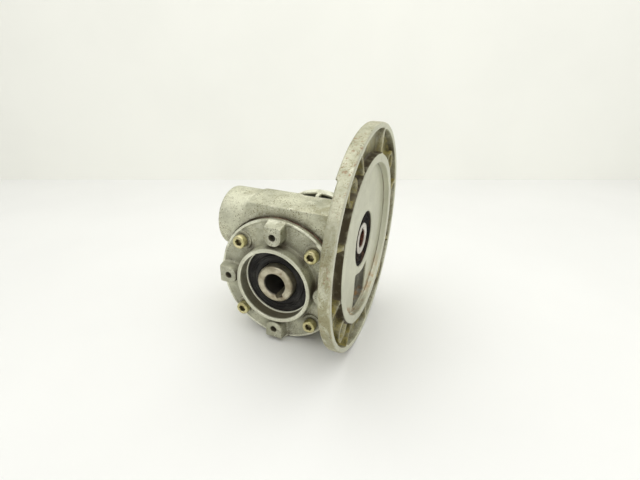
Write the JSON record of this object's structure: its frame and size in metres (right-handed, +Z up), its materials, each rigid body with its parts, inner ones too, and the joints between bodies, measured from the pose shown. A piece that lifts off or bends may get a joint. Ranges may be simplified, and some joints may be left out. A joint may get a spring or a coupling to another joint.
{
  "type": "worm gearbox",
  "caption": "Small right-angle worm gearbox with a round motor flange, hollow keyed output shaft, lugged front cover and a round output flange behind.",
  "frame": {"origin": "centre of the object's bounding box in plan, at the height of its lowest point, which is under the output axis", "axes": "+X along the worm axis towards the motor, +Y along the output axis away from the front cover, +Z up from the output axis to the worm axis"},
  "size_m": [0.0988, 0.14, 0.142],
  "materials": {
    "gearcase_casting": "as-cast, tumbled, dirty in the pockets",
    "cover_casting": "as-cast, machined boss",
    "flange_casting": "as-cast, machined face",
    "gasket": "stained brown",
    "seal_rubber": "matt black with moulded rings",
    "output_shaft_steel": "turned, oily, lightly rusted",
    "worm_steel": "ground and turned",
    "bearing_steel": "ground",
    "bronze": "machined bronze",
    "spring_steel": "phosphated",
    "zinc_screw": "yellow zinc plated steel"
  },
  "bodies": {
    "gearcase_set": {"gearcase": "gearcase_casting", "front_cover": "cover_casting", "output_flange": "flange_casting", "front_gasket": "gasket", "rear_gasket": "gasket", "front_output_seal": "seal_rubber", "rear_output_seal": "seal_rubber", "input_seal": "seal_rubber", "worm_end_cap": "seal_rubber", "worm_bore_circlip": "spring_steel", "front_bearing_shim": "spring_steel", "rear_bearing_shim": "spring_steel", "cover_screw_top_right": "zinc_screw", "flange_screw_top_right": "zinc_screw", "cover_screw_top_left": "zinc_screw", "flange_screw_top_left": "zinc_screw", "cover_screw_bottom_left": "zinc_screw", "flange_screw_bottom_left": "zinc_screw", "cover_screw_bottom_right": "zinc_screw", "flange_screw_bottom_right": "zinc_screw", "front_output_bearing_outer_ring": "bearing_steel", "rear_output_bearing_outer_ring": "bearing_steel", "worm_front_bearing_outer_ring": "bearing_steel", "worm_rear_bearing_outer_ring": "bearing_steel"},
    "output_shaft_set": {"output_shaft": "output_shaft_steel", "worm_wheel": "bronze", "front_output_bearing_inner_ring": "bearing_steel", "rear_output_bearing_inner_ring": "bearing_steel"},
    "worm_set": {"worm_shaft": "worm_steel", "worm_shaft_circlip": "spring_steel", "worm_front_bearing_inner_ring": "bearing_steel", "worm_rear_bearing_inner_ring": "bearing_steel"},
    "front_output_bearing_balls": {"front_output_bearing_ball_set": "bearing_steel"},
    "rear_output_bearing_balls": {"rear_output_bearing_ball_set": "bearing_steel"},
    "worm_front_bearing_balls": {"worm_front_bearing_ball_set": "bearing_steel"},
    "worm_rear_bearing_balls": {"worm_rear_bearing_ball_set": "bearing_steel"}
  },
  "joints": [
    {"name": "output_spin", "type": "hinge", "parent": "gearcase_set", "child": "output_shaft_set", "pos_m": [-0.00255, 0, 0.042], "axis": [0, 1, 0], "continuous": true},
    {"name": "worm_spin", "type": "hinge", "parent": "gearcase_set", "child": "worm_set", "pos_m": [-0.00255, 0, 0.072], "axis": [1, 0, 0], "continuous": true},
    {"name": "front_output_bearing_balls_spin", "type": "hinge", "parent": "gearcase_set", "child": "front_output_bearing_balls", "pos_m": [-0.00255, 0, 0.042], "axis": [0, 1, 0], "continuous": true},
    {"name": "rear_output_bearing_balls_spin", "type": "hinge", "parent": "gearcase_set", "child": "rear_output_bearing_balls", "pos_m": [-0.00255, 0, 0.042], "axis": [0, 1, 0], "continuous": true},
    {"name": "worm_front_bearing_balls_spin", "type": "hinge", "parent": "gearcase_set", "child": "worm_front_bearing_balls", "pos_m": [-0.00255, 0, 0.072], "axis": [1, 0, 0], "continuous": true},
    {"name": "worm_rear_bearing_balls_spin", "type": "hinge", "parent": "gearcase_set", "child": "worm_rear_bearing_balls", "pos_m": [-0.00255, 0, 0.072], "axis": [1, 0, 0], "continuous": true}
  ],
  "couplings": [
    {"joint": "worm_spin", "follows": "output_spin", "ratio": -30},
    {"joint": "front_output_bearing_balls_spin", "follows": "output_spin", "ratio": 0.43195},
    {"joint": "rear_output_bearing_balls_spin", "follows": "output_spin", "ratio": 0.43195},
    {"joint": "worm_front_bearing_balls_spin", "follows": "output_spin", "ratio": -13.175},
    {"joint": "worm_rear_bearing_balls_spin", "follows": "output_spin", "ratio": -11.502}
  ]
}
